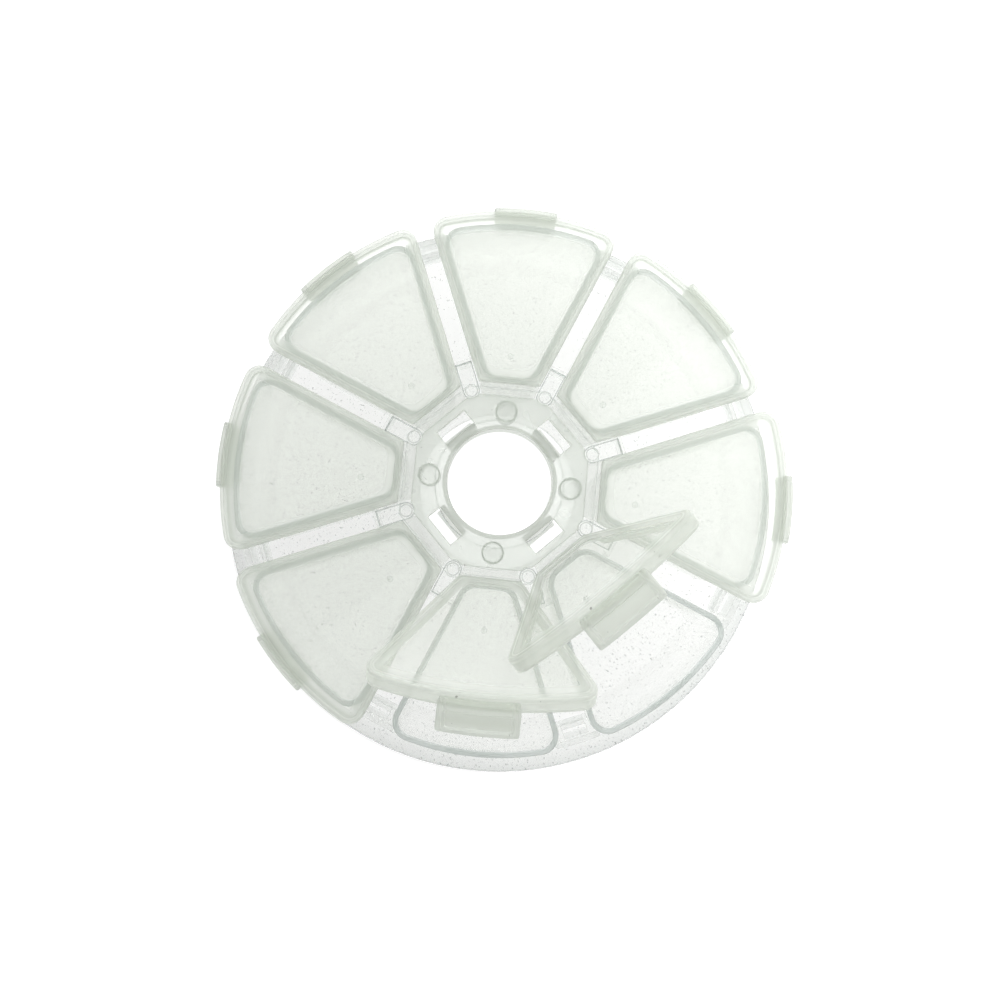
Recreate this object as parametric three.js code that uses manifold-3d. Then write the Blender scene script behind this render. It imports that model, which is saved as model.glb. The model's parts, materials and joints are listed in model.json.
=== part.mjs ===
// Round flip-lid storage box: eight wedge cups on a base plate, closed by eight lids that swing
// on living hinges round an octagonal hub. Millimetres, +Z up, origin at the bottom centre.
// Each sector piece is drawn once with its outward direction along +X, then turned about Z.
import * as THREE from 'three';
import { mergeVertices } from 'three/addons/utils/BufferGeometryUtils.js';
import Module from 'manifold-3d';

const wasm = await Module();
wasm.setup();

// ---- Driving dimensions -------------------------------------------------------------------
const SECTORS = 8;
const BASE_RADIUS = 52.5;
const BASE_THICKNESS = 1.2;
const BASE_HOLE_RADIUS = 15.0;
const CLOSED_HEIGHT = 28.0;

const CUP_RADIUS = 43.5;          // outer face of the cup's outer wall
const CUP_APOTHEM = 16.5;         // hub-side face of the cup
const CUP_SIDE_GAP = 2.6;         // side wall's outer face to the plane between two sectors
const CUP_WALL = 0.9;
const CUP_FLOOR = 1.0;
const CUP_OUTER_CORNER = 3.0;
const CUP_INNER_CORNER = 3.2;

const LID_RADIUS = 45.3;
const LID_APOTHEM = 16.1;         // hinge-side edge of the lid
const LID_SIDE_GAP = 1.5;
const LID_PLATE = 0.9;
const LID_DEPTH = 2.2;            // plate and skirt together
const LID_CORNER = 2.5;
const LID_HINGE_CORNER = 0.4;
const SKIRT_SIDE = 0.85;
const SKIRT_ARC = 0.95;
const SKIRT_START = 20.0;         // the side skirts begin here, clear of the hinge

const LATCH_RADIUS = 47.1;
const LATCH_WIDTH = 10.9;
const LATCH_TOP = 0.9;            // below the lid's top face
const LATCH_SHOULDER = 2.6;
const LATCH_BOTTOM = 5.4;
const LATCH_FLAP = 1.1;
const LATCH_LIP_HEIGHT = 0.8;
const LATCH_LIP_RADIUS = 44.5;
const LEDGE_RADIUS = 44.0;        // catch ledge on the cup, under the latch's lip when shut
const LEDGE_WIDTH = 9.0;
const LEDGE_BOTTOM = 4.2;
const LEDGE_TOP = 3.4;

const HUB_APOTHEM = 13.95;
const HUB_THICKNESS = 1.2;
const BORE_RADIUS = 8.6;
const COLLAR_WALL = 0.7;
const COLLAR_DEPTH = 5.0;
const NOTCH_RADIUS = 1.55;
const NOTCH_CENTRE = 16.0;
const WINDOW_START = 10.1;
const WINDOW_DEPTH = 2.5;
const WINDOW_WIDTH = 5.7;

const SEAT_APOTHEM = 16.2;
const SEAT_HOLE_RADIUS = 10.7;
const SEAT_TOP = 4.6;             // below the closed lids' top face
const SEAT_THICKNESS = 1.4;
const POST_RADIUS = 1.8;
const POST_CENTRE = 11.5;
const HOOK_STEM = 0.6;
const HOOK_REACH = 1.2;
const HOOK_HEAD = 1.2;
const HOOK_NOSE = 0.3;

const FILM_START = 14.05;
const FILM_END = 16.0;
const FILM_THICKNESS = 0.5;
const FILM_HUB_WIDTH = 8.6;
const FILM_LID_WIDTH = 10.0;
const HINGE_APOTHEM = 15.0;       // the joint axis, along the middle of the film

const BRIDGE_TOP = 2.6;           // below the closed lids' top face, clear of their skirts
const BRIDGE_DEPTH = 3.8;
const TONGUE_RADIUS = 1.4;
const TONGUE_THICKNESS = 1.2;
const INNER_BAR = 20.6;
const OUTER_BAR = 39.9;
const BAR_THICKNESS = 0.8;
const SLOT_START = 40.7;
const SLOT_DEPTH = 1.3;
const SLOT_WIDTH = 3.8;
const BRIDGE_TIP_ANGLE = 0.6;     // how far the outer bridge follows the cup's corner, radians
const BRIDGE_REACH_ANGLE = 0.08;  // half of its outer edge's arc about the centre, radians

const FIT_GAP = 0.15;             // between neighbouring pieces of one moulding
const SEAT_GAP = 0.3;             // under a closed lid's plate
const FILLET_STEPS = 4;
const ARC_STEPS = 10;
const ROUND_STEPS = 48;
const RIM_STEPS = 96;
const NOTCH_STEPS = 16;
const POST_STEPS = 20;

// Opening angles in degrees as the box stands: two lids lifted, one unlatched, the rest shut.
const OPEN_ANGLES = [62, 80, 6, 0, 0, 0, 0, 0];

const TOP = CLOSED_HEIGHT;
const SECTOR_DEGREES = 360 / SECTORS;
const FIRST_DIRECTION = -90;
const HALF_SECTOR = Math.PI / SECTORS;
const SIDE_SIN = Math.sin(HALF_SECTOR);
const SIDE_COS = Math.cos(HALF_SECTOR);

// ---- Solids -------------------------------------------------------------------------------
function toSolid(geometry) {
  const bare = geometry.clone();
  bare.deleteAttribute('normal');
  bare.deleteAttribute('uv');
  const merged = mergeVertices(bare, 1e-5);
  return new wasm.Manifold(new wasm.Mesh({
    numProp: 3,
    vertProperties: new Float32Array(merged.attributes.position.array),
    triVerts: new Uint32Array(merged.index.array),
  }));
}

function toGeometry(solid) {
  const mesh = solid.getMesh();
  const geometry = new THREE.BufferGeometry();
  geometry.setAttribute('position', new THREE.BufferAttribute(mesh.vertProperties, 3));
  geometry.setIndex(new THREE.BufferAttribute(mesh.triVerts, 1));
  geometry.computeVertexNormals();
  return geometry;
}

function slab(outline, bottom, top, hole = null) {
  const shape = new THREE.Shape(outline);
  if (hole) shape.holes.push(new THREE.Path(hole));
  const geometry = new THREE.ExtrudeGeometry(shape, { depth: top - bottom, bevelEnabled: false });
  return geometry.translate(0, 0, bottom);
}

// ---- Outlines -----------------------------------------------------------------------------
function arc(cx, cy, radius, from, to, steps) {
  return Array.from({ length: steps + 1 }, (_, i) => {
    const angle = from + (to - from) * i / steps;
    return new THREE.Vector2(cx + radius * Math.cos(angle), cy + radius * Math.sin(angle));
  });
}

function circle(radius, cx = 0, cy = 0, steps = ROUND_STEPS) {
  return arc(cx, cy, radius, 0, 2 * Math.PI, steps).slice(0, steps);
}

function rectangle(x0, x1, halfWidth) {
  return [[x0, -halfWidth], [x1, -halfWidth], [x1, halfWidth], [x0, halfWidth]]
    .map(([x, y]) => new THREE.Vector2(x, y));
}

function octagon(apothem) {
  return Array.from({ length: SECTORS }, (_, i) => {
    const angle = HALF_SECTOR * (2 * i + 1);
    return new THREE.Vector2(Math.cos(angle), Math.sin(angle)).multiplyScalar(apothem / SIDE_COS);
  });
}

function mirrored(points) {
  return points.map((p) => new THREE.Vector2(p.x, -p.y)).reverse();
}

// One sector's outline: a straight hub side, two sides parallel to the planes between sectors,
// and an outer arc about the centre, with rounded corners.
function wedge({ apothem, radius, sideGap, outerCorner, innerCorner }) {
  const outerSide = Math.sqrt((radius - outerCorner) ** 2 - (sideGap + outerCorner) ** 2);
  const outerX = outerSide * SIDE_COS + (sideGap + outerCorner) * SIDE_SIN;
  const outerY = outerSide * SIDE_SIN - (sideGap + outerCorner) * SIDE_COS;
  const outerAngle = Math.atan2(outerY, outerX);
  const innerX = apothem + innerCorner;
  const innerSide = (innerX - (sideGap + innerCorner) * SIDE_SIN) / SIDE_COS;
  const innerY = innerSide * SIDE_SIN - (sideGap + innerCorner) * SIDE_COS;
  const sideNormal = HALF_SECTOR + Math.PI / 2;
  const upper = [
    ...arc(0, 0, radius, 0, outerAngle, ARC_STEPS / 2).slice(0, -1),
    ...arc(outerX, outerY, outerCorner, outerAngle, sideNormal, FILLET_STEPS),
    ...arc(innerX, innerY, innerCorner, sideNormal, Math.PI, FILLET_STEPS),
  ];
  return [...mirrored(upper).slice(0, -1), ...upper];
}

// A stretch of a ring about the centre, cut off square at each end.
function ringStretch(innerRadius, outerRadius, width) {
  const outer = Math.asin(width / 2 / outerRadius);
  const inner = Math.asin(width / 2 / innerRadius);
  return [
    ...arc(0, 0, outerRadius, -outer, outer, ARC_STEPS),
    ...arc(0, 0, innerRadius, inner, -inner, ARC_STEPS),
  ];
}

// ---- Base moulding ------------------------------------------------------------------------
function baseDisc() {
  return slab(circle(BASE_RADIUS, 0, 0, RIM_STEPS), 0, BASE_THICKNESS, circle(BASE_HOLE_RADIUS));
}

function cup() {
  const rim = TOP - LID_PLATE - SEAT_GAP;
  const shell = toSolid(slab(wedge({
    apothem: CUP_APOTHEM,
    radius: CUP_RADIUS,
    sideGap: CUP_SIDE_GAP,
    outerCorner: CUP_OUTER_CORNER,
    innerCorner: CUP_INNER_CORNER,
  }), BASE_THICKNESS, rim));
  const hollow = toSolid(slab(wedge({
    apothem: CUP_APOTHEM + CUP_WALL,
    radius: CUP_RADIUS - CUP_WALL,
    sideGap: CUP_SIDE_GAP + CUP_WALL,
    outerCorner: CUP_OUTER_CORNER - CUP_WALL,
    innerCorner: CUP_INNER_CORNER - CUP_WALL,
  }), BASE_THICKNESS + CUP_FLOOR, rim + 1));
  const ledge = toSolid(slab(
    ringStretch(CUP_RADIUS - CUP_WALL / 2, LEDGE_RADIUS, LEDGE_WIDTH),
    TOP - LEDGE_BOTTOM,
    TOP - LEDGE_TOP,
  ));
  return toGeometry(shell.subtract(hollow).add(ledge));
}

// The tongue between two cups: its round end stands in the notch at the hub plate's corner.
function innerBridge() {
  const top = TOP - BRIDGE_TOP;
  const tongue = [
    ...rectangle(NOTCH_CENTRE, INNER_BAR + BAR_THICKNESS / 2, TONGUE_RADIUS),
    ...arc(NOTCH_CENTRE, 0, TONGUE_RADIUS, Math.PI / 2, 1.5 * Math.PI, FILLET_STEPS * 2).slice(1, -1),
  ];
  const plate = toSolid(slab(tongue, top - TONGUE_THICKNESS, top));
  const bar = rectangle(INNER_BAR, INNER_BAR + BAR_THICKNESS, CUP_SIDE_GAP - FIT_GAP);
  return toGeometry(plate.add(toSolid(slab(bar, top - BRIDGE_DEPTH, top))));
}

// Two cross bars between the outer corners of two cups, with a slot between them.
function outerBridge() {
  const cornerX = Math.sqrt(
    (CUP_RADIUS - CUP_OUTER_CORNER) ** 2 - (CUP_SIDE_GAP + CUP_OUTER_CORNER) ** 2);
  const cornerY = CUP_SIDE_GAP + CUP_OUTER_CORNER;
  const upper = [
    ...arc(0, 0, CUP_RADIUS - FIT_GAP, 0, BRIDGE_REACH_ANGLE, 2),
    ...arc(cornerX, cornerY, CUP_OUTER_CORNER + FIT_GAP, -BRIDGE_TIP_ANGLE, -Math.PI / 2,
      FILLET_STEPS),
    new THREE.Vector2(OUTER_BAR, CUP_SIDE_GAP - FIT_GAP),
  ];
  const slot = rectangle(SLOT_START, SLOT_START + SLOT_DEPTH, SLOT_WIDTH / 2);
  const top = TOP - BRIDGE_TOP;
  return slab([...mirrored(upper).slice(0, -1), ...upper], top - BRIDGE_DEPTH, top, slot);
}

function hubSeat() {
  const top = TOP - SEAT_TOP;
  return slab(octagon(SEAT_APOTHEM), top - SEAT_THICKNESS, top, circle(SEAT_HOLE_RADIUS));
}

// ---- Lid moulding -------------------------------------------------------------------------
function hubPlate() {
  const bottom = TOP - HUB_THICKNESS;
  let plate = toSolid(slab(octagon(HUB_APOTHEM), bottom, TOP, circle(BORE_RADIUS)));
  const collar = slab(circle(BORE_RADIUS + COLLAR_WALL), TOP - COLLAR_DEPTH, TOP,
    circle(BORE_RADIUS));
  plate = plate.add(toSolid(collar));
  const notch = toSolid(slab(
    circle(NOTCH_RADIUS, NOTCH_CENTRE, 0, NOTCH_STEPS), bottom - 1, TOP + 1));
  const opening = toSolid(slab(
    rectangle(WINDOW_START, WINDOW_START + WINDOW_DEPTH, WINDOW_WIDTH / 2), bottom - 1, TOP + 1));
  for (let i = 0; i < SECTORS; i += 1) {
    plate = plate.subtract(notch.rotate([0, 0, SECTOR_DEGREES * (i + 0.5)]));
    if (i % 2) plate = plate.subtract(opening.rotate([0, 0, SECTOR_DEGREES * i]));
  }
  return toGeometry(plate);
}

// A stem under the hub plate with a barb that catches below the hub seat.
function snapHook() {
  const stemStart = BORE_RADIUS + COLLAR_WALL + FIT_GAP;
  const stemEnd = stemStart + HOOK_STEM;
  const headTop = TOP - SEAT_TOP - SEAT_THICKNESS - SEAT_GAP;
  const profile = [
    [stemStart, headTop - HOOK_HEAD],
    [stemEnd + HOOK_NOSE, headTop - HOOK_HEAD],
    [stemEnd + HOOK_REACH, headTop],
    [stemEnd, headTop],
    [stemEnd, TOP - HUB_THICKNESS],
    [stemStart, TOP - HUB_THICKNESS],
  ].map(([x, z]) => new THREE.Vector2(x, z));
  const geometry = new THREE.ExtrudeGeometry(new THREE.Shape(profile),
    { depth: WINDOW_WIDTH, bevelEnabled: false });
  return geometry.rotateX(Math.PI / 2).translate(0, WINDOW_WIDTH / 2, 0);
}

function spacerPost() {
  const height = SEAT_TOP - HUB_THICKNESS;
  const post = new THREE.CylinderGeometry(POST_RADIUS, POST_RADIUS, height, POST_STEPS);
  return post.rotateX(Math.PI / 2).translate(POST_CENTRE, 0, TOP - HUB_THICKNESS - height / 2);
}

function hingeFilm() {
  const upper = [
    new THREE.Vector2(FILM_END, FILM_LID_WIDTH / 2),
    new THREE.Vector2(FILM_START, FILM_HUB_WIDTH / 2),
  ];
  return slab([...mirrored(upper), ...upper], TOP - FILM_THICKNESS, TOP);
}

function lid() {
  const plan = {
    apothem: LID_APOTHEM,
    radius: LID_RADIUS,
    sideGap: LID_SIDE_GAP,
    outerCorner: LID_CORNER,
    innerCorner: LID_HINGE_CORNER,
  };
  const block = toSolid(slab(wedge(plan), TOP - LID_DEPTH, TOP));
  const hollow = toSolid(slab(wedge({
    apothem: LID_APOTHEM - 4,
    radius: LID_RADIUS - SKIRT_ARC,
    sideGap: LID_SIDE_GAP + SKIRT_SIDE,
    outerCorner: LID_CORNER - SKIRT_SIDE,
    innerCorner: LID_HINGE_CORNER,
  }), TOP - LID_DEPTH - 1, TOP - LID_PLATE));
  const hingeRelief = toSolid(slab(
    rectangle(0, SKIRT_START, LID_RADIUS), TOP - LID_DEPTH - 1, TOP - LID_PLATE));
  return toGeometry(block.subtract(hollow).subtract(hingeRelief));
}

function latch() {
  const inner = LID_RADIUS + FIT_GAP;
  const flapInner = LATCH_RADIUS - LATCH_FLAP;
  const shoulder = slab(ringStretch(inner, LATCH_RADIUS, LATCH_WIDTH),
    TOP - LATCH_SHOULDER, TOP - LATCH_TOP);
  const flap = slab(ringStretch(flapInner, LATCH_RADIUS, LATCH_WIDTH),
    TOP - LATCH_BOTTOM, TOP - LATCH_TOP);
  const lip = slab(ringStretch(LATCH_LIP_RADIUS, LATCH_RADIUS, LATCH_WIDTH),
    TOP - LATCH_BOTTOM, TOP - LATCH_BOTTOM + LATCH_LIP_HEIGHT);
  return toGeometry(toSolid(shoulder).add(toSolid(flap)).add(toSolid(lip)));
}

// ---- Assembly -----------------------------------------------------------------------------
function frosted(tint) {
  return new THREE.MeshStandardMaterial({ color: tint, roughness: 0.4, metalness: 0 });
}

function named(name, geometry, tint) {
  const mesh = new THREE.Mesh(geometry, frosted(tint));
  mesh.name = name;
  return mesh;
}

function turned(degrees, ...meshes) {
  const group = new THREE.Group();
  group.rotation.z = THREE.MathUtils.degToRad(degrees);
  group.add(...meshes);
  return group;
}

const BASE_TINT = 0xe9eeec;
const LID_TINT = 0xdfe5e2;

const box = new THREE.Group();
box.add(named('base_disc', baseDisc(), BASE_TINT));
box.add(named('hub_seat', hubSeat(), BASE_TINT));
box.add(named('hub_plate', hubPlate(), LID_TINT));

for (let i = 0; i < SECTORS; i += 1) {
  const number = i + 1;
  const direction = FIRST_DIRECTION + SECTOR_DEGREES * i;
  box.add(turned(direction,
    named(`cup_${number}`, cup(), BASE_TINT),
    named(`hinge_film_${number}`, hingeFilm(), LID_TINT)));
  box.add(turned(direction + SECTOR_DEGREES / 2,
    named(`inner_bridge_${number}`, innerBridge(), BASE_TINT),
    named(`outer_bridge_${number}`, outerBridge(), BASE_TINT)));

  // The lid and its latch turn together about the hinge line at the top face.
  const swing = new THREE.Group();
  swing.position.set(HINGE_APOTHEM, 0, TOP - FILM_THICKNESS / 2);
  swing.rotation.y = -THREE.MathUtils.degToRad(OPEN_ANGLES[i]);
  const shift = [-HINGE_APOTHEM, 0, -(TOP - FILM_THICKNESS / 2)];
  swing.add(named(`lid_${number}`, lid().translate(...shift), LID_TINT));
  swing.add(named(`latch_${number}`, latch().translate(...shift), LID_TINT));
  box.add(turned(direction, swing));
}

for (let i = 0; i < SECTORS / 2; i += 1) {
  const number = i + 1;
  const direction = FIRST_DIRECTION + 2 * SECTOR_DEGREES * i;
  box.add(turned(direction, named(`spacer_post_${number}`, spacerPost(), LID_TINT)));
  box.add(turned(direction + SECTOR_DEGREES,
    named(`snap_hook_${number}`, snapHook(), LID_TINT)));
}

export default box;
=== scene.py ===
import json
import math

import bpy
import numpy as np
from mathutils import Euler, Matrix, Vector


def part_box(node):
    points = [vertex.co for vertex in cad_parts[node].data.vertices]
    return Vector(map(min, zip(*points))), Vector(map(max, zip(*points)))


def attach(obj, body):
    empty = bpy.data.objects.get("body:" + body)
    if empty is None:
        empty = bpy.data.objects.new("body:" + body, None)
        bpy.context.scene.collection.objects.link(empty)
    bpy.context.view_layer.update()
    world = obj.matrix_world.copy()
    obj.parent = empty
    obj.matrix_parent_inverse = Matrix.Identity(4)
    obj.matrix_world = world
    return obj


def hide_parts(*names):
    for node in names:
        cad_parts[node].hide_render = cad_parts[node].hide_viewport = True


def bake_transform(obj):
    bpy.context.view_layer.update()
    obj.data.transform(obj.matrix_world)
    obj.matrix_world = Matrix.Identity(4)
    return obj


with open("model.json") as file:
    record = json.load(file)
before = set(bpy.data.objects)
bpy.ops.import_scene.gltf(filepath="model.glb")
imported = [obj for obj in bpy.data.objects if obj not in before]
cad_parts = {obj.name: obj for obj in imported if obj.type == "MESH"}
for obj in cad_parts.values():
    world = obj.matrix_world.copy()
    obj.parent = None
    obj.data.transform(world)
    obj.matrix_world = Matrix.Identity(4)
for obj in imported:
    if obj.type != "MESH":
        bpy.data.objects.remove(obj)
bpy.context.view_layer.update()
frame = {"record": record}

# Round box of eight wedge cups with flip lids, in translucent frosted polypropylene.
# Shapes are drawn in millimetres in one sector's own frame, outward along +X, with heights
# measured down from the closed lids' top face, then turned into place in metres.
MM = 0.001
SECTORS = 8
STEP = 2 * math.pi / SECTORS
HALF = STEP / 2
FIRST = -math.pi / 2

# ---- What the frame gives -----------------------------------------------------------------
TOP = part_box("hub_plate")[1].z / MM
DISC_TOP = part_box("base_disc")[1].z / MM
DISC_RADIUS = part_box("base_disc")[1].x / MM
CUP_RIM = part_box("cup_3")[1].z / MM - TOP
CUP_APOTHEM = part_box("cup_3")[0].x / MM
LEDGE_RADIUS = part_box("cup_3")[1].x / MM
SEAT_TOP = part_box("hub_seat")[1].z / MM - TOP
SEAT_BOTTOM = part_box("hub_seat")[0].z / MM - TOP
SEAT_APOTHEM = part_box("hub_seat")[1].x / MM
HUB_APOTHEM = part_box("hub_plate")[1].x / MM
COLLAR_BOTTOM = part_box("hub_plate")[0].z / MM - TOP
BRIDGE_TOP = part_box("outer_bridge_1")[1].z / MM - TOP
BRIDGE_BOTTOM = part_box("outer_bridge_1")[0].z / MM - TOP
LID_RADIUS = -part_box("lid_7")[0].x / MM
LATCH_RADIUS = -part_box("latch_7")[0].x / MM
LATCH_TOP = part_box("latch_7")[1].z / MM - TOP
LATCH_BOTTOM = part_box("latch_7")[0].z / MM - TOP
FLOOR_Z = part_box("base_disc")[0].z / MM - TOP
OPEN = [0.0] * SECTORS
for joint in frame["record"]["behaviour"]["joints"]:
    number = int(joint["name"].split("_")[1])
    OPEN[number - 1] = math.radians(-joint["range_deg"][0])

# ---- Dimensions the boxes don't give, as in the CAD -----------------------------------------
DISC_HOLE = 15.0
CUP_RADIUS = 43.5
CUP_GAP = 2.6
CUP_WALL = 0.9
CUP_FLOOR = 1.0
CUP_OUTER_CORNER = 3.0
CUP_INNER_CORNER = 3.2
LID_APOTHEM = 16.1
LID_GAP = 1.5
LID_PLATE = 0.9
LID_DEPTH = 2.2
LID_CORNER = 2.5
LID_HINGE_CORNER = 0.4
HEEL_RADIUS = 2.4
SKIRT_SIDE = 0.85
HINGE_APOTHEM = 15.0
HINGE_DROP = 0.25
BORE_RADIUS = 8.6
COLLAR_WALL = 0.7
HUB_THICKNESS = 1.2
NOTCH_RADIUS = 1.55
NOTCH_CENTRE = 16.0
WINDOW_START = 10.1
WINDOW_DEPTH = 2.5
WINDOW_WIDTH = 5.7
SEAT_HOLE = 10.7
POST_CENTRE = 11.5
SMALLEST_CORNER = 0.05
ARC_STEPS = 12
CORNER_STEPS = 8
HEEL_STEPS = 6

# ---- Painted shade, from 0 in a bare sheet to 1 along a wall, where walls and edges are painted dark ---
SHEET = 0.0
WALL = 1.0


# ---- Meshes -------------------------------------------------------------------------------
def sector_matrix(index):
    return Matrix.Rotation(FIRST + STEP * index, 4, "Z")


def opening_matrix(angle):
    pivot = Vector((HINGE_APOTHEM * MM, 0, (TOP - HINGE_DROP) * MM))
    turn = Matrix.Rotation(-angle, 4, "Y")
    return Matrix.Translation(pivot) @ turn @ Matrix.Translation(-pivot)


def to_metres(points):
    points = np.array(points, float)
    points[:, 2] += TOP
    return points * MM


def mesh_from(name, points, faces, sharp=35, painted_shade=WALL):
    """A smooth mesh, with a painted shade given point by point or for all: how dark and milky the
    plastic is painted there.
    """
    mesh = bpy.data.meshes.new(name)
    mesh.from_pydata(to_metres(points).tolist(), [], faces)
    mesh.validate()
    mesh.shade_smooth()
    mesh.set_sharp_from_angle(angle=math.radians(sharp))
    values = np.broadcast_to(np.asarray(painted_shade, np.float32), (len(mesh.vertices),))
    layer = mesh.attributes.new("painted_shade", "FLOAT", "POINT")
    layer.data.foreach_set("value", np.ascontiguousarray(values))
    return mesh


def merged(*parts):
    points = []
    faces = []
    for part_points, part_faces in parts:
        start = len(points)
        points.extend(tuple(p) for p in part_points)
        faces.extend(tuple(start + i for i in face) for face in part_faces)
    return points, faces


def loft(rings, closed=False):
    """Skin between rings of equal length; both ends are capped unless it closes on itself."""
    count = len(rings[0])
    points = [tuple(p) for ring in rings for p in ring]
    faces = []
    spans = len(rings) if closed else len(rings) - 1
    for k in range(spans):
        low = k * count
        high = (k + 1) % len(rings) * count
        for i in range(count):
            j = (i + 1) % count
            faces.append((low + i, low + j, high + j, high + i))
    if not closed:
        last = (len(rings) - 1) * count
        faces.append(tuple(range(count - 1, -1, -1)))
        faces.append(tuple(range(last, last + count)))
    return points, faces


def lathe(profile, steps):
    """Turns a closed (radius, height) profile about the Z axis."""
    rings = []
    for k in range(steps):
        angle = 2 * math.pi * k / steps
        rings.append([(r * math.cos(angle), r * math.sin(angle), z) for r, z in profile])
    return loft(rings, closed=True)


def round_corner(cx, cy, radius, start, end, steps):
    """Points of an arc, angles in degrees."""
    points = []
    for k in range(steps + 1):
        angle = math.radians(start + (end - start) * k / steps)
        points.append((cx + radius * math.cos(angle), cy + radius * math.sin(angle)))
    return points


def mirrored(points):
    return [(x, -y) for x, y in reversed(points)]


# shares of a sector's side, from its heel to its outer corner, where the outline has a point
SIDE_SHARES = (0.03, 0.07, 0.1, 0.13, 0.16, 0.2, 0.35, 0.5, 0.65, 0.8, 0.92)


def wedge(apothem, radius, gap, outer_corner, inner_corner, inset=0.0):
    """A sector's outline drawn in by inset, always with the same number of points."""
    apothem += inset
    radius -= inset
    gap += inset
    outer = max(outer_corner - inset, SMALLEST_CORNER)
    inner = max(inner_corner - inset, SMALLEST_CORNER)
    sin, cos = math.sin(HALF), math.cos(HALF)
    reach = math.sqrt((radius - outer) ** 2 - (gap + outer) ** 2)
    ox = reach * cos + (gap + outer) * sin
    oy = reach * sin - (gap + outer) * cos
    meet = math.degrees(math.atan2(oy, ox))
    ix = apothem + inner
    along = (ix - (gap + inner) * sin) / cos
    iy = along * sin - (gap + inner) * cos
    normal = math.degrees(HALF) + 90
    corner = round_corner(ox, oy, outer, meet, normal, CORNER_STEPS)
    heel = round_corner(ix, iy, inner, normal, 180, HEEL_STEPS)
    ax, ay = corner[-1]
    bx, by = heel[0]
    side = [(bx + (ax - bx) * t, by + (ay - by) * t) for t in reversed(SIDE_SHARES)]
    upper = round_corner(0, 0, radius, 0, meet, ARC_STEPS)[:-1] + corner + side + heel
    back = [(upper[-1][0], upper[-1][1] * t) for t in (0.5, 0.0, -0.5)]
    return mirrored(upper)[:-1] + upper + back


def smoothstep(value):
    value = min(max(value, 0.0), 1.0)
    return value * value * (3 - 2 * value)


def plate(name, outline, holes, low, high, bevel):
    """A flat piece with holes and softened edges, from a filled curve."""
    curve = bpy.data.curves.new(name, "CURVE")
    curve.dimensions = "2D"
    curve.fill_mode = "BOTH"
    curve.extrude = (high - low) / 2 - bevel
    curve.bevel_depth = bevel
    curve.bevel_resolution = 2
    curve.offset = -bevel
    for points in [outline] + holes:
        spline = curve.splines.new("POLY")
        spline.points.add(len(points) - 1)
        spline.use_cyclic_u = True
        for point, (x, y) in zip(spline.points, points):
            point.co = (x, y, 0, 1)
    holder = bpy.data.objects.new(name, curve)
    bpy.context.scene.collection.objects.link(holder)
    bpy.context.view_layer.update()
    raw = bpy.data.meshes.new_from_object(holder)
    bpy.data.objects.remove(holder)
    points = [(v.co.x, v.co.y, v.co.z + (low + high) / 2) for v in raw.vertices]
    faces = [tuple(p.vertices) for p in raw.polygons]
    return welded(points, faces)


def edge_marks(points, low, high, sheet=SHEET, edge=WALL):
    """The painted shade of a plate: its softened edges are painted dark like walls, drawing dark
    outlines.
    """
    margin = 0.02
    return [edge if low + margin < p[2] < high - margin else sheet for p in points]


def welded(points, faces):
    """Joins points that coincide and drops faces that vanish."""
    index = {}
    kept = []
    remap = []
    for point in points:
        key = tuple(round(c, 4) for c in point)
        if key not in index:
            index[key] = len(kept)
            kept.append(point)
        remap.append(index[key])
    out = []
    for face in faces:
        ring = []
        for i in face:
            if not ring or ring[-1] != remap[i]:
                ring.append(remap[i])
        if len(ring) > 1 and ring[0] == ring[-1]:
            ring.pop()
        if len(set(ring)) > 2:
            out.append(tuple(ring))
    return kept, out


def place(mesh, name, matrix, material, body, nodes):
    piece = bpy.data.objects.new(name, mesh)
    bpy.context.scene.collection.objects.link(piece)
    piece.matrix_world = matrix
    if not mesh.materials:
        mesh.materials.append(material)
    modifier = piece.modifiers.new("normals", "WEIGHTED_NORMAL")
    modifier.keep_sharp = True
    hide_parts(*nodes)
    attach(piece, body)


# ---- Materials ----------------------------------------------------------------------------
PLASTIC_IOR = 1.46
PLASTIC_ABSORPTION = (0.51, 0.555, 0.48, 1)


def mix_colour(tree, factor, start, end):
    """Blends two colours, each given as a value or as an output to follow."""
    node = tree.nodes.new("ShaderNodeMix")
    node.data_type = "RGBA"
    for socket, source in ((node.inputs[6], start), (node.inputs[7], end)):
        if isinstance(source, tuple):
            socket.default_value = (*source, 1)
        else:
            tree.links.new(source, socket)
    tree.links.new(factor, node.inputs[0])
    return node.outputs[2]


def ramp(tree, source, low, high, start, end):
    """Maps low..high of a value to start..end, held at both ends."""
    node = tree.nodes.new("ShaderNodeMapRange")
    for name, value in (("From Min", low), ("From Max", high), ("To Min", start),
                        ("To Max", end)):
        node.inputs[name].default_value = value
    tree.links.new(source, node.inputs["Value"])
    return node.outputs["Result"]


def noise(tree, size, detail):
    """Noise in the piece's own frame; size is in metres."""
    node = tree.nodes.new("ShaderNodeTexNoise")
    node.inputs["Scale"].default_value = 1 / size
    node.inputs["Detail"].default_value = detail
    place_in = tree.nodes.new("ShaderNodeTexCoord")
    tree.links.new(place_in.outputs["Object"], node.inputs["Vector"])
    return node.outputs["Fac"]


def bump(tree, height, distance, before=None):
    node = tree.nodes.new("ShaderNodeBump")
    node.inputs["Distance"].default_value = distance
    tree.links.new(height, node.inputs["Height"])
    if before:
        tree.links.new(before, node.inputs["Normal"])
    return node.outputs["Normal"]


def mix_shader(tree, factor, first, second):
    node = tree.nodes.new("ShaderNodeMixShader")
    if isinstance(factor, float):
        node.inputs[0].default_value = factor
    else:
        tree.links.new(factor, node.inputs[0])
    tree.links.new(first, node.inputs[1])
    tree.links.new(second, node.inputs[2])
    return node.outputs[0]


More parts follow.
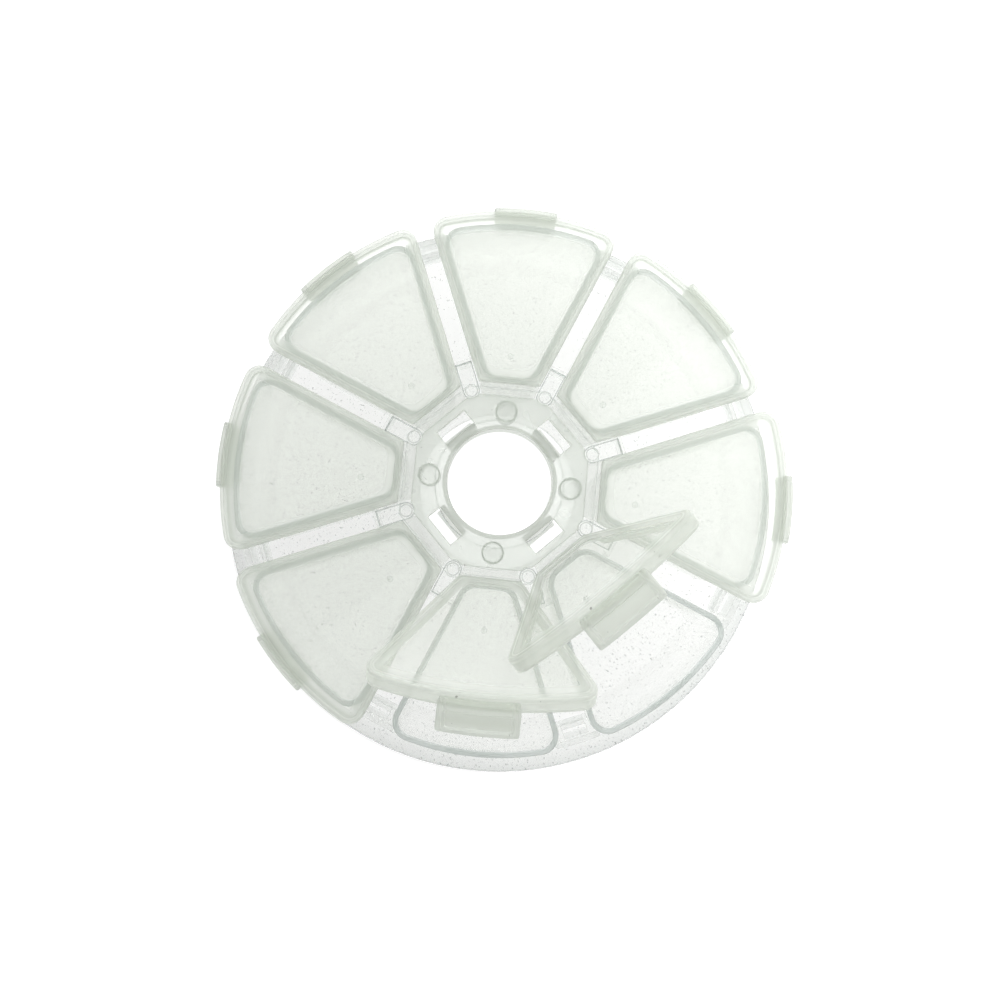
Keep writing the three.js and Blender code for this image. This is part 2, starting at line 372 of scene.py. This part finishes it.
def frosted(name, tint, shade_colour, body, haze, clear, roughness, grain, wave, mottle, speck,
            absorption):
    """Milky polypropylene, tint in a bare sheet and darkened towards a painted shade colour where
    the painted shade marks walls, edges and borders. body is the share of light that the
    surface catches in a sheet and along a wall. Of that share haze glows with the light behind,
    and clear is how much of the rest goes through. wave is the height and size of slow
    unevenness, grain the height of fine texture, mottle how cloudy it is and speck how dusty.
    absorption darkens long ways through the plastic."""
    fine_size = 0.00045
    dust_size = 0.0009
    wave_height, wave_size = wave
    cloud_shade = 0.86
    speck_shade = 0.45
    speck_range = (0.62, 0.7)
    dust_range = (0.775, 0.79)
    dust_colour = (0.12, 0.11, 0.1)
    material = bpy.data.materials.new(name)
    material.use_nodes = True
    tree = material.node_tree
    shader = tree.nodes["Principled BSDF"]
    shader.inputs["IOR"].default_value = PLASTIC_IOR
    shader.inputs["Transmission Weight"].default_value = clear
    attribute = tree.nodes.new("ShaderNodeAttribute")
    attribute.attribute_name = "painted_shade"
    painted_shade = attribute.outputs["Fac"]
    fine = noise(tree, fine_size, 3)
    slow = noise(tree, wave_size, 2)
    dust = noise(tree, dust_size, 1)
    # painted shade: the colour goes from tint to the darker shade colour where walls, edges and
    # borders are marked
    colour = mix_colour(tree, painted_shade, tint, shade_colour)
    cloudy = tuple(cloud_shade * c for c in tint)
    colour = mix_colour(tree, ramp(tree, slow, 0.2, 1.0, 0.0, mottle), colour, cloudy)
    dark = tuple(speck_shade * c for c in shade_colour)
    dotted = ramp(tree, fine, *speck_range, 0.0, min(3 * speck, 1.0))
    colour = mix_colour(tree, dotted, colour, dark)
    dusty = ramp(tree, dust, *dust_range, 0.0, 1.0)
    colour = mix_colour(tree, dusty, colour, dust_colour)
    tree.links.new(colour, shader.inputs["Base Color"])
    tree.links.new(ramp(tree, slow, 0.0, 1.0, roughness * 0.7, roughness * 1.3),
                   shader.inputs["Roughness"])
    normal = bump(tree, fine, grain, bump(tree, slow, wave_height))
    tree.links.new(normal, shader.inputs["Normal"])
    glow = tree.nodes.new("ShaderNodeBsdfTranslucent")
    tree.links.new(colour, glow.inputs["Color"])
    straight = tree.nodes.new("ShaderNodeBsdfTransparent")
    solid = mix_shader(tree, haze, shader.outputs[0], glow.outputs[0])
    specks = ramp(tree, fine, *speck_range, 0.0, speck)
    share = tree.nodes.new("ShaderNodeMath")
    share.use_clamp = True
    tree.links.new(ramp(tree, painted_shade, 0.0, 1.0, body[0], body[1]), share.inputs[0])
    tree.links.new(specks, share.inputs[1])
    surface = mix_shader(tree, share.outputs[0], straight.outputs[0], solid)
    output = tree.nodes["Material Output"]
    tree.links.new(surface, output.inputs["Surface"])
    volume = tree.nodes.new("ShaderNodeVolumeAbsorption")
    volume.inputs["Color"].default_value = PLASTIC_ABSORPTION
    volume.inputs["Density"].default_value = absorption
    tree.links.new(volume.outputs["Volume"], output.inputs["Volume"])
    return material


def base_plastic():
    return frosted("base_frosted", tint=(0.96, 0.985, 0.95), shade_colour=(0.54, 0.59, 0.57),
                   body=(0.05, 0.9), haze=0.25, clear=0.75, roughness=0.12, grain=0.000008,
                   wave=(0.00003, 0.006), mottle=0.1, speck=0.02, absorption=25)


def disc_plastic():
    return frosted("disc_frosted", tint=(0.93, 0.95, 0.91), shade_colour=(0.54, 0.59, 0.57),
                   body=(0.14, 0.9), haze=0.25, clear=0.75, roughness=0.15, grain=0.000008,
                   wave=(0.00003, 0.006), mottle=0.2, speck=0.35, absorption=25)


def hub_plastic():
    return frosted("hub_frosted", tint=(0.86, 0.9, 0.84), shade_colour=(0.75, 0.785, 0.735),
                   body=(0.05, 0.7), haze=0.45, clear=0.5, roughness=0.3, grain=0.000008,
                   wave=(0.00004, 0.005), mottle=0.3, speck=0.02, absorption=25)


def lid_plastic():
    return frosted("lid_frosted", tint=(0.865, 0.905, 0.825), shade_colour=(0.79, 0.815, 0.775),
                   body=(0.24, 0.8), haze=0.45, clear=0.5, roughness=0.35, grain=0.000008,
                   wave=(0.00002, 0.009), mottle=0.15, speck=0.0, absorption=50)


def film_plastic():
    return frosted("thin_frosted", tint=(0.96, 0.972, 0.945), shade_colour=(0.62, 0.65, 0.61),
                   body=(0.05, 0.7), haze=0.3, clear=0.7, roughness=0.2, grain=0.000006,
                   wave=(0.00003, 0.004), mottle=0.1, speck=0.0, absorption=25)


def paper():
    """Pale paper that glows as if backlit, with a painted pool of light that makes it a little
    brighter towards one corner.
    """
    material = bpy.data.materials.new("paper")
    material.use_nodes = True
    tree = material.node_tree
    shader = tree.nodes["Principled BSDF"]
    shader.inputs["Base Color"].default_value = (0.45, 0.45, 0.45, 1)
    shader.inputs["Roughness"].default_value = 0.9
    shader.inputs["Specular IOR Level"].default_value = 0.1
    shader.inputs["Emission Color"].default_value = (1, 1, 1, 1)
    split = tree.nodes.new("ShaderNodeSeparateXYZ")
    place_in = tree.nodes.new("ShaderNodeTexCoord")
    tree.links.new(place_in.outputs["Object"], split.inputs["Vector"])
    total = tree.nodes.new("ShaderNodeMath")
    tree.links.new(split.outputs["X"], total.inputs[0])
    tree.links.new(split.outputs["Y"], total.inputs[1])
    # painted pool of light: the glow rises from 0.72 to 1.0 towards the corner where x and y grow
    glow = ramp(tree, total.outputs[0], -0.06, 0.06, 0.72, 1.0)
    tree.links.new(glow, shader.inputs["Emission Strength"])
    return material


BASE = base_plastic()
DISC = disc_plastic()
HUB = hub_plastic()
LID = lid_plastic()
FILM = film_plastic()


# ---- Base moulding ------------------------------------------------------------------------
def base_disc():
    bottom = FLOOR_Z
    top = DISC_TOP - TOP
    under = 0.35
    over = 0.45
    hole_under = 0.2
    hole_over = 0.25
    shares = (0.45, 0.6, 0.75, 0.9)
    profile = [(DISC_HOLE, bottom + hole_under), (DISC_HOLE + hole_under, bottom)]
    profile += [(DISC_RADIUS * t, bottom) for t in shares]
    profile += round_corner(DISC_RADIUS - under, bottom + under, under, -90, 0, 4)
    profile += round_corner(DISC_RADIUS - over, top - over, over, 0, 90, 5)
    profile += [(DISC_RADIUS * t, top) for t in reversed(shares)]
    profile += [(DISC_HOLE + hole_over, top), (DISC_HOLE, top - hole_over)]
    # painted shade: dark outlines painted along the disc's rim and the hole's edge
    edge = 0.6
    marks = [edge if r > DISC_RADIUS - 0.4 or r < DISC_HOLE + 0.1 else SHEET
             for r, z in profile]
    steps = 192
    mesh = mesh_from("base_disc_plate", *lathe(profile, steps), painted_shade=marks * steps)
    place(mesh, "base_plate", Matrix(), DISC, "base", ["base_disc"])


def cup_outline(inset):
    return wedge(CUP_APOTHEM, CUP_RADIUS, CUP_GAP, CUP_OUTER_CORNER, CUP_INNER_CORNER, inset)


def cup_mesh():
    """A cup with a softened rim and a rounded foot inside, its catch ledge and gate dot."""
    low = DISC_TOP - TOP + 0.01
    inside = low + CUP_FLOOR
    lip = 0.3
    toe = 0.3
    toe_height = 0.4
    # painted shade: a mid shade painted on the catch ledge and the gate dot
    detail_mark = 0.35
    rim_steps = (CUP_RIM - 5, CUP_RIM - 0.8, CUP_RIM - 0.5)
    turns = [math.pi * k / 6 for k in range(4)]
    profile = [(3.0, low), (toe + 0.15, low), (toe, low + toe_height)]
    profile += [(0.0, z) for z in rim_steps]
    profile += [(lip - lip * math.cos(a), CUP_RIM - lip + lip * math.sin(a)) for a in turns]
    profile += [(CUP_WALL - lip + lip * math.sin(a), CUP_RIM - lip + lip * math.cos(a))
                for a in turns]
    profile += [(CUP_WALL, z) for z in reversed(rim_steps)]
    corner = 1.1
    foot = CUP_WALL + 0.35
    profile += [(foot + corner - corner * math.cos(a), inside + corner - corner * math.sin(a))
                for a in (math.pi * k / 8 for k in range(5))]
    profile += [(foot + corner + 1.4, inside), (foot + corner + 4, inside)]
    rings = [[(x, y, z) for x, y in cup_outline(inset)] for inset, z in profile]
    painted_shade = [cup_mark(x, y, z, inside) for ring in rings for x, y, z in ring]
    points, faces = merged(loft(rings), ledge(), gate_mark(inside))
    painted_shade += [detail_mark] * (len(points) - len(painted_shade))
    return mesh_from("cup", points, faces, painted_shade=painted_shade)


def cup_mark(x, y, z, inside):
    """How much painted shade a cup gets: its rim most, then the upright corners, walls and floor,
    so rim and corners are painted darkest.
    """
    if z > CUP_RIM - 0.6:
        return WALL
    if z <= inside + 1.5:
        return 0.03
    outer_corner = math.hypot(x, y) > CUP_RADIUS - 2.5 and abs(y) > 11.5
    heel = x < CUP_APOTHEM + 2.2
    return 0.22 if outer_corner or heel else 0.1


def ledge():
    """The catch ledge below the rim that a shut latch hooks under."""
    rings = []
    half = 4.4 / LEDGE_RADIUS
    bottom = -4.15
    top = -3.4
    root = CUP_RADIUS - 0.5
    section = [(root, bottom), (LEDGE_RADIUS - 0.15, bottom), (LEDGE_RADIUS, bottom + 0.15),
               (LEDGE_RADIUS, top - 0.4), (CUP_RADIUS - 0.1, top - 0.02), (root, top)]
    steps = 12
    for k in range(steps + 1):
        angle = half * (2 * k / steps - 1)
        rings.append([(r * math.cos(angle), r * math.sin(angle), z) for r, z in section])
    return loft([list(reversed(ring)) for ring in rings])


GATE_CENTRE = 26.5
GATE_RADIUS = 0.65


def gate_mark(inside):
    """The small raised dot that the mould's gate leaves on a cup's floor."""
    rings = []
    for share, rise in ((1.0, -0.1), (1.0, 0.03), (0.8, 0.08), (0.4, 0.12)):
        rings.append([(GATE_CENTRE + x, y, inside + rise)
                      for x, y in round_corner(0, 0, GATE_RADIUS * share, 0, 345, 23)])
    return loft(rings)


def cups():
    mesh = cup_mesh()
    for k in range(SECTORS):
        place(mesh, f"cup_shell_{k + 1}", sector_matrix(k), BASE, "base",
              [f"cup_{k + 1}"])


def inner_bridge():
    """The tongue between two cups, with the cross bar at its outer end."""
    top = BRIDGE_TOP
    low = top - 1.2
    radius = 1.4
    start = 20.6
    end = start + 0.8
    reach = start + 0.3
    half = CUP_GAP - 0.02
    tip = round_corner(NOTCH_CENTRE, 0, radius, 90, 270, 16)
    slab = plate("tongue", tip + [(reach, -radius), (reach, radius)], [], low, top, 0.2)
    bar = [(start, -half), (end, -half), (end, half), (start, half)]
    cross = plate("bar", bar, [], BRIDGE_BOTTOM, top, 0.15)
    ring = mark_ring(NOTCH_CENTRE, 1.0, top)
    # painted shade: dark outlines along the tongue's and bar's softened edges, and a mid shade on
    # the pin ring
    marks = edge_marks(slab[0], low, top, sheet=0.1)
    marks += edge_marks(cross[0], BRIDGE_BOTTOM, top, edge=0.2)
    marks += [0.5] * len(ring[0])
    return mesh_from("inner_bridge", *merged(slab, cross, ring), painted_shade=marks)


def mark_ring(centre, radius, height):
    """The faint round ring that an ejector pin leaves."""
    rings = []
    foot = 0.1
    crest = 0.07
    for r, rise in ((radius - foot, -0.05), (radius - crest, 0.03), (radius + crest, 0.03),
                    (radius + foot, -0.05)):
        rings.append([(centre + x, y, height + rise)
                      for x, y in round_corner(0, 0, r, 0, 348, 29)])
    return loft([list(ring) for ring in zip(*rings)], closed=True)


def outer_bridge():
    """Two cross bars between the cups' outer corners, with a slot between them."""
    corner = CUP_OUTER_CORNER
    cx = math.sqrt((CUP_RADIUS - corner) ** 2 - (CUP_GAP + corner) ** 2)
    cy = CUP_GAP + corner
    reach = CUP_RADIUS - 0.15
    start = 39.9
    slot_start = 40.7
    slot_end = 42.0
    slot_half = 1.9
    upper = [(reach * math.cos(a), reach * math.sin(a)) for a in (0, 0.02, 0.04, 0.06, 0.08)]
    upper += round_corner(cx, cy, corner + 0.03, -34, -90, CORNER_STEPS)
    upper.append((start, CUP_GAP - 0.02))
    outline = mirrored(upper)[:-1] + upper
    slot = [(slot_start, -slot_half), (slot_end, -slot_half), (slot_end, slot_half),
            (slot_start, slot_half)]
    slab = plate("bridge", outline, [slot], BRIDGE_BOTTOM, BRIDGE_TOP, 0.15)
    # painted shade: dark outlines along the bridge's softened edges
    return mesh_from("outer_bridge", *slab,
                     painted_shade=edge_marks(slab[0], BRIDGE_BOTTOM, BRIDGE_TOP, edge=0.5))


def bridges():
    inner = inner_bridge()
    outer = outer_bridge()
    for k in range(SECTORS):
        matrix = sector_matrix(k + 0.5)
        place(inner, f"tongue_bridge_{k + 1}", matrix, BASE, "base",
              [f"inner_bridge_{k + 1}"])
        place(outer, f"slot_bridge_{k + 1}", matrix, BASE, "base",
              [f"outer_bridge_{k + 1}"])


def octagon(apothem):
    reach = apothem / math.cos(HALF)
    return [(reach * math.cos(HALF * (2 * k + 1)), reach * math.sin(HALF * (2 * k + 1)))
            for k in range(SECTORS)]


def hub_seat():
    hole = list(reversed(round_corner(0, 0, SEAT_HOLE, 0, 356.25, 95)))
    slab = plate("seat", octagon(SEAT_APOTHEM), [hole], SEAT_BOTTOM, SEAT_TOP, 0.2)
    # painted shade: dark outlines along the seat's softened edges
    marks = edge_marks(slab[0], SEAT_BOTTOM, SEAT_TOP, edge=0.7)
    place(mesh_from("hub_seat_ring", *slab, painted_shade=marks), "seat_ring", Matrix(), BASE,
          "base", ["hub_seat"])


# ---- Lid moulding -------------------------------------------------------------------------
def hub_outline():
    """An octagon with a round bite out of each corner."""
    points = []
    samples = 400
    for k in range(SECTORS):
        direction = HALF * (2 * k + 1)
        # the bite's arc between the two flat sides, in the corner's own frame
        bite = []
        for j in range(samples):
            angle = math.pi / 2 + math.pi * j / (samples - 1)
            x = NOTCH_CENTRE + NOTCH_RADIUS * math.cos(angle)
            y = NOTCH_RADIUS * math.sin(angle)
            if x * math.cos(HALF) + abs(y) * math.sin(HALF) <= HUB_APOTHEM:
                bite.append((x, y))
        bite = [bite[round(i * (len(bite) - 1) / ARC_STEPS)] for i in range(ARC_STEPS + 1)]
        points += [turned(x, y, direction) for x, y in reversed(bite)]
    return points


def turned(x, y, angle):
    return (x * math.cos(angle) - y * math.sin(angle),
            x * math.sin(angle) + y * math.cos(angle))


def hub_plate():
    """The octagon with its bore, windows and collar, and a ring over each rest post."""
    bore = list(reversed(round_corner(0, 0, BORE_RADIUS, 0, 357, 119)))
    holes = [bore]
    end = WINDOW_START + WINDOW_DEPTH
    half = WINDOW_WIDTH / 2
    box = [(WINDOW_START, -half), (WINDOW_START, half), (end, half), (end, -half)]
    for k in range(SECTORS // 2):
        holes.append([turned(x, y, STEP * (2 * k + 1)) for x, y in box])
    slab = plate("hub", hub_outline(), holes, -HUB_THICKNESS, 0.0, 0.15)
    inner = BORE_RADIUS + 0.02
    outer = BORE_RADIUS + COLLAR_WALL
    start = 0.1 - HUB_THICKNESS
    edge = 0.2
    profile = [(inner, start), (inner, COLLAR_BOTTOM + edge), (BORE_RADIUS + edge, COLLAR_BOTTOM),
               (outer - edge, COLLAR_BOTTOM), (outer, COLLAR_BOTTOM + edge), (outer, start)]
    collar = lathe(profile, 120)
    # painted shade: the plate is painted a mid shade all over, less by the bore, dark on its
    # softened edges and on the rings over the posts; the collar is left bare
    bore_mark = 0.45
    marks = edge_marks(slab[0], -HUB_THICKNESS, 0.0, sheet=0.56)
    marks = [min(mark, bore_mark) if math.hypot(p[0], p[1]) < BORE_RADIUS + 0.3 else mark
             for mark, p in zip(marks, slab[0])]
    marks += [SHEET] * len(collar[0])
    rings = []
    ring_points, ring_faces = mark_ring(0.0, 1.7, -0.05)
    for k in range(SECTORS // 2):
        dx, dy = turned(POST_CENTRE, 0, FIRST + STEP * 2 * k)
        rings.append(([(x + dx, y + dy, z) for x, y, z in ring_points], ring_faces))
        marks += [0.9] * len(ring_points)
    mesh = mesh_from("hub_plate_collar", *merged(slab, collar, *rings), painted_shade=marks)
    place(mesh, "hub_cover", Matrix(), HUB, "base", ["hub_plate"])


def hooks_and_posts():
    hook = hook_mesh()
    post = post_mesh()
    for k in range(SECTORS // 2):
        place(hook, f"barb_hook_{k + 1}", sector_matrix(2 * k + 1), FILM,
              "base", [f"snap_hook_{k + 1}"])
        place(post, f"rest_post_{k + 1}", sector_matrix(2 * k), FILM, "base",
              [f"spacer_post_{k + 1}"])


def hook_mesh():
    """A flat leg beside the collar, with a barb that catches under the seat."""
    start = BORE_RADIUS + COLLAR_WALL + 0.02
    end = start + 0.72
    head = SEAT_BOTTOM - 0.3
    foot = head - 1.2
    root = 0.05 - HUB_THICKNESS
    section = [(start, foot), (end + 0.3, foot), (end + 1.2, head - 0.05),
               (end + 1.1, head), (end, head), (end, root), (start, root)]
    half = WINDOW_WIDTH / 2
    edge = 0.12
    middle = (start + end) / 2
    rings = []
    for y, shrink in ((-half, edge), (edge - half, 0.0), (half - edge, 0.0), (half, edge)):
        rings.append([(x + (middle - x) * shrink, y, z) for x, z in section])
    return mesh_from("barb_hook", *loft(rings), painted_shade=SHEET)


def post_mesh():
    top = 0.05 - HUB_THICKNESS
    foot = SEAT_TOP + 0.01
    core = 1.3
    radius = 1.8
    # painted shade: the post's outer wall is painted dark, its ends are left bare
    profile = [(core, top, SHEET), (1.5, top, SHEET), (1.58, top, WALL), (radius, top, WALL),
               (radius - 0.05, foot + 0.25, WALL), (radius - 0.2, foot + 0.05, WALL),
               (1.45, foot, SHEET), (core, foot, SHEET)]
    rings = []
    marks = []
    for r, z, mark in profile:
        circle = reversed(round_corner(0, 0, r, 0, 348, 29))
        rings.append([(POST_CENTRE + x, y, z) for x, y in circle])
        marks += [mark] * len(rings[-1])
    return mesh_from("rest_post", *loft(rings), painted_shade=marks)


def lid_outline(inset):
    """The lid's outline; drawn in past the skirt, its heel corners turn round."""
    rounding = smoothstep((inset - 0.6) / 0.35) * (1 - smoothstep((inset - 4.0) / 3.0))
    heel = max(LID_HINGE_CORNER, HEEL_RADIUS * rounding + inset)
    return wedge(LID_APOTHEM, LID_RADIUS, LID_GAP, LID_CORNER, heel, inset)


# rings of the lid's top face: how far in from the outline, and how much painted shade it gets
# there, darker in a band near the edge for the shade under the lid's border
TOP_RINGS = ((7.0, SHEET), (3.5, SHEET), (2.4, 0.05), (1.9, 0.15), (1.05, 0.15),
             (0.95, 0.55), (0.8, 0.55), (0.7, 0.3))
# rings down the skirt and up its inside: inset, share of its depth, lift above that, painted
# shade
SKIRT_RINGS = ((0.0, 0.1, 0.3, 0.3), (0.0, 0.75, 0.22, 0.3), (0.0, 1.0, 0.15, WALL),
               (0.04, 1.0, 0.05, WALL), (0.12, 1.0, 0.0, WALL),
               (SKIRT_SIDE - 0.15, 1.0, 0.0, WALL), (SKIRT_SIDE - 0.05, 1.0, 0.05, WALL),
               (SKIRT_SIDE, 1.0, 0.15, WALL))
# rings of the plate's underside: inset, and how far below the plate they are
UNDER_RINGS = ((SKIRT_SIDE + 0.02, 0.2), (SKIRT_SIDE + 0.1, 0.06), (SKIRT_SIDE + 0.25, 0.0),
               (1.8, 0.0), (4.0, 0.0), (7.0, 0.0))
SKIRT_START = 19.2
SKIRT_FADE = 1.6
LID_FILLET = 0.45


def lid_mesh():
    """The plate with its rounded top edge, and a skirt that fades out towards the hinge."""
    rings = []
    marks = []
    for inset, mark in TOP_RINGS:
        rings.append([(x, y, 0.0) for x, y in lid_outline(inset)])
        marks.append(mark)
    steps = 5
    for k in range(steps + 1):
        angle = math.pi / 2 * k / steps
        inset = LID_FILLET - LID_FILLET * math.sin(angle)
        drop = LID_FILLET - LID_FILLET * math.cos(angle)
        rings.append([(x, y, -drop) for x, y in lid_outline(inset)])
        # painted shade on the rounded top edge, darker lower down
        marks.append(0.3 if k < 2 else 0.75)
    for inset, share, lift, mark in SKIRT_RINGS:
        ring = []
        for x, y in lid_outline(inset):
            reach = smoothstep((x - SKIRT_START) / SKIRT_FADE)
            depth = LID_PLATE + (LID_DEPTH - LID_PLATE) * share * reach
            ring.append((x, y, -depth + lift))
        rings.append(ring)
        marks.append(mark)
    for inset, drop in UNDER_RINGS:
        ring = []
        for x, y in lid_outline(inset):
            depth = LID_PLATE + drop if x > 20.5 else LID_PLATE
            ring.append((x, y, -depth))
        rings.append(ring)
        # painted shade: the underside is painted dark next to the skirt
        marks.append(SHEET if inset > SKIRT_SIDE + 0.3 else WALL)
    rings.reverse()
    marks.reverse()
    painted_shade = np.repeat(marks, len(rings[0]))
    return mesh_from("lid", *loft(rings), painted_shade=painted_shade)


LATCH_WIDTH = 10.9
LATCH_ROOT = LID_RADIUS - 0.3
RECESS_DEPTH = 0.25
RECESS_POINTS = (5, 6)


def latch_section():
    """The flap's outline from its root over the outside, round the lip and up the inside."""
    out = LATCH_RADIUS
    end = LATCH_BOTTOM
    lip_reach = 44.5
    back = 45.6
    outside = [(LATCH_ROOT, LATCH_TOP), (out - 1.2, LATCH_TOP), (out - 0.95, LATCH_TOP - 0.1),
               (out - 0.85, LATCH_TOP - 0.35), (out - 0.6, -2.0), (out - 0.6, -2.25),
               (out - 0.35, -4.2), (out - 0.3, -4.45)]
    lip = [(out - 0.25, end + 0.6), (out - 0.3, end + 0.4), (out - 0.5, end + 0.3),
           (lip_reach + 0.25, end + 0.3), (lip_reach, end + 0.5), (lip_reach + 0.1, end + 0.8),
           (back + 0.1, end + 1.2)]
    return outside + lip + [(back, -2.6), (LATCH_ROOT, -2.2)]


def latch_mesh():
    """The flap on the lid's outer edge, with a shallow recess in its outer face."""
    section = latch_section()
    half = LATCH_WIDTH / 2 / LATCH_RADIUS
    ends = [(-1.0, 0.18), (-0.985, 0.05), (-0.955, 0.0)]
    sides = (0.87, 0.82, 0.77, 0.6, 0.4, 0.2)
    inner = [(-t, 0.0) for t in sides] + [(0.0, 0.0)] + [(t, 0.0) for t in reversed(sides)]
    stations = ends + inner + [(-t, s) for t, s in reversed(ends)]
    middle = (sum(r for r, z in section) / len(section), (LATCH_TOP + LATCH_BOTTOM) / 2)
    rings = []
    painted_shade = []
    for t, shrink in stations:
        angle = half * t
        dish = RECESS_DEPTH * smoothstep((0.86 - abs(t)) / 0.08)
        ring = []
        for index, (r, z) in enumerate(section):
            if index in RECESS_POINTS:
                r -= dish
            r += (middle[0] - r) * shrink
            z += (middle[1] - z) * shrink
            ring.append((r * math.cos(angle), r * math.sin(angle), z))
            painted_shade.append(latch_mark(t, index))
        rings.append(ring)
    return mesh_from("latch", *loft(rings), painted_shade=painted_shade)


def latch_mark(t, index):
    """Where the flap gets full painted shade: the recess's border, the lip and both ends, painted
    dark as outlines.
    """
    border = 0.8 < abs(t) < 0.85 or abs(t) < 0.85 and index in (4, 7)
    rim = index > 7 or abs(t) > 0.94
    return WALL if border or rim else 0.5


def lids():
    lid = lid_mesh()
    latch = latch_mesh()
    for k in range(SECTORS):
        matrix = sector_matrix(k) @ opening_matrix(OPEN[k])
        body = f"lid_{k + 1}"
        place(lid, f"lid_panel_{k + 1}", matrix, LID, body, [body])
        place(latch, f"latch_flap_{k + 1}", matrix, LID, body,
              [f"latch_{k + 1}"])


FILM_START = 13.9
FILM_END = 16.2
FILM_TOP = -0.04
FILM_UNDER = -0.5
# painted shade: the hinge films are painted a mid shade all over
FILM_MARK = 0.5
BLEND_START = 13.95
BLEND_END = 16.1


def film_points():
    """The film lying flat: a strip thinner along its middle."""
    columns = 17
    rows = 9
    half_start = 4.3
    half_end = 5.0
    top = []
    under = []
    for i in range(columns):
        t = i / (columns - 1)
        u = FILM_START + (FILM_END - FILM_START) * t
        half = half_start + (half_end - half_start) * t
        groove = math.sin(math.pi * t) ** 2
        for j in range(rows):
            y = half * (2 * j / (rows - 1) - 1)
            top.append((u, y, FILM_TOP - 0.08 * groove))
            under.append((u, y, FILM_UNDER + 0.1 * groove))
    faces = []
    offset = columns * rows
    for i in range(columns - 1):
        for j in range(rows - 1):
            a = i * rows + j
            b = a + rows
            faces.append((a, b, b + 1, a + 1))
            faces.append((offset + a, offset + a + 1, offset + b + 1, offset + b))
    edge = [i * rows for i in range(columns)]
    edge += [(columns - 1) * rows + j for j in range(1, rows)]
    edge += [i * rows + rows - 1 for i in range(columns - 2, -1, -1)]
    edge += [j for j in range(rows - 2, 0, -1)]
    for a, b in zip(edge, edge[1:] + edge[:1]):
        faces.append((b, a, offset + a, offset + b))
    return np.array(top + under), faces


def swing(points, angle):
    """Turns points about the hinge line, each by its own angle."""
    x = points[:, 0] - HINGE_APOTHEM
    z = points[:, 2] + HINGE_DROP
    cos, sin = np.cos(angle), np.sin(angle)
    return np.stack([HINGE_APOTHEM + x * cos - z * sin, points[:, 1],
                     -HINGE_DROP + x * sin + z * cos], 1)


def bent(flat, angle):
    """The film's shape at rest: each point turned about the hinge by a share of the lid's opening
    that grows across the strip towards the lid.
    """
    start = np.array([[BLEND_START, 0.0, -HINGE_DROP]])
    end = swing(np.array([[BLEND_END, 0.0, -HINGE_DROP]]), np.array([angle]))
    line = (end - start)[0]
    rest = flat
    for _ in range(60):
        t = np.clip((rest - start) @ line / (line @ line), 0, 1)
        weight = t * t * (3 - 2 * t)
        rest = 0.5 * rest + 0.5 * swing(flat, angle * weight)
    return rest, start[0], end[0]


def hinge_films():
    flat, faces = film_points()
    for k in range(SECTORS):
        shape, start, end = bent(flat, OPEN[k])
        mesh = mesh_from(f"hinge_{k + 1}", shape, faces, sharp=60, painted_shade=FILM_MARK)
        piece = bpy.data.objects.new(f"hinge_strip_{k + 1}", mesh)
        bpy.context.scene.collection.objects.link(piece)
        mesh.materials.append(FILM)
        matrix = sector_matrix(k)
        piece.matrix_world = matrix
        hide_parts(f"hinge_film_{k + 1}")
        first, last = to_metres([start, end])
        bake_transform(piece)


# ---- Floor, light and camera --------------------------------------------------------------
def stage_floor():
    size = 5.0
    drop = -0.00003
    mesh = bpy.data.meshes.new("floor")
    corners = [(-size, -size, drop), (size, -size, drop), (size, size, drop),
               (-size, size, drop)]
    mesh.from_pydata(corners, [], [(0, 1, 2, 3)])
    mesh.materials.append(paper())
    sheet = bpy.data.objects.new("floor", mesh)
    bpy.context.scene.collection.objects.link(sheet)


def softbox(name, location, target, width, height, power):
    data = bpy.data.lights.new(name, "AREA")
    data.shape = "RECTANGLE"
    data.size = width
    data.size_y = height
    data.energy = power
    lamp = bpy.data.objects.new(name, data)
    bpy.context.scene.collection.objects.link(lamp)
    lamp.location = location
    aim = Vector(target) - Vector(location)
    lamp.rotation_euler = aim.to_track_quat("-Z", "Y").to_euler()


def sky(horizon, zenith, strength):
    """A soft white dome, dimmer near the horizon."""
    world = bpy.data.worlds.new("dome")
    bpy.context.scene.world = world
    world.use_nodes = True
    tree = world.node_tree
    background = tree.nodes["Background"]
    background.inputs["Strength"].default_value = strength
    place_in = tree.nodes.new("ShaderNodeTexCoord")
    split = tree.nodes.new("ShaderNodeSeparateXYZ")
    tree.links.new(place_in.outputs["Generated"], split.inputs["Vector"])
    level = ramp(tree, split.outputs["Z"], 0.0, 0.8, horizon, zenith)
    tree.links.new(level, background.inputs["Color"])


def camera():
    """Looks almost straight down on the box, from a hand's length away."""
    data = bpy.data.cameras.new("camera")
    data.sensor_width = 36
    data.lens = 29.45
    data.shift_x = 0.0221
    data.shift_y = -0.0472
    data.clip_start = 0.005
    data.clip_end = 10
    data.dof.use_dof = False
    holder = bpy.data.objects.new("camera", data)
    bpy.context.scene.collection.objects.link(holder)
    location = Vector((-0.001161, -0.009735, 0.159471))
    turn = Euler([math.radians(angle) for angle in (6.156235, 0.602476, 5.779113)])
    holder.matrix_world = Matrix.LocRotScale(location, turn, None)
    bpy.context.scene.camera = holder


def light_and_view():
    scene = bpy.context.scene
    sky(horizon=0.5, zenith=0.7, strength=1.0)
    softbox("key", location=(0.12, 0.17, 0.24), target=(0.02, 0.03, 0.0), width=0.2,
            height=0.2, power=0.6)
    scene.view_settings.view_transform = "Standard"
    scene.cycles.max_bounces = 32
    scene.cycles.transmission_bounces = 24
    scene.cycles.diffuse_bounces = 5
    scene.cycles.glossy_bounces = 6
    scene.cycles.transparent_max_bounces = 64
    scene.cycles.sample_clamp_indirect = 4.0
    scene.cycles.use_denoising = True


base_disc()
cups()
bridges()
hub_seat()
hub_plate()
hooks_and_posts()
lids()
hinge_films()
stage_floor()
camera()
light_and_view()
